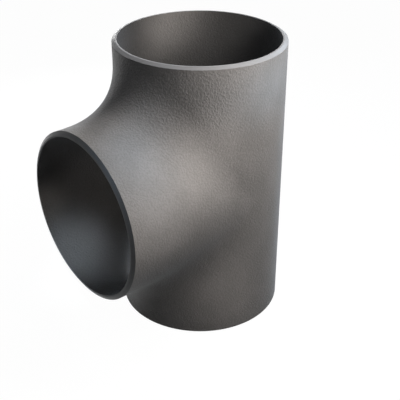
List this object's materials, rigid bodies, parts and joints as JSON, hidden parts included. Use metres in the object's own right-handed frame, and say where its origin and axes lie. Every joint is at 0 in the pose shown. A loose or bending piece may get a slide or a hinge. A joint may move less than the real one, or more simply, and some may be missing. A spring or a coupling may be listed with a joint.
{
  "type": "butt weld tee",
  "caption": "Tee-shaped steel pipe fitting: a straight run with a branch of the same bore at its middle, all ends bevelled for butt welding.",
  "frame": {"origin": "where the axis of the run and the axis of the branch cross", "axes": "+Z along the run, +X along the branch away from the run, Y square to both, through the flanks"},
  "size_m": [0.2255, 0.1652, 0.2858],
  "materials": {
    "steel": "shot-blasted, dark grey"
  },
  "bodies": {
    "root": {"tee_body": "steel"}
  },
  "joints": []
}
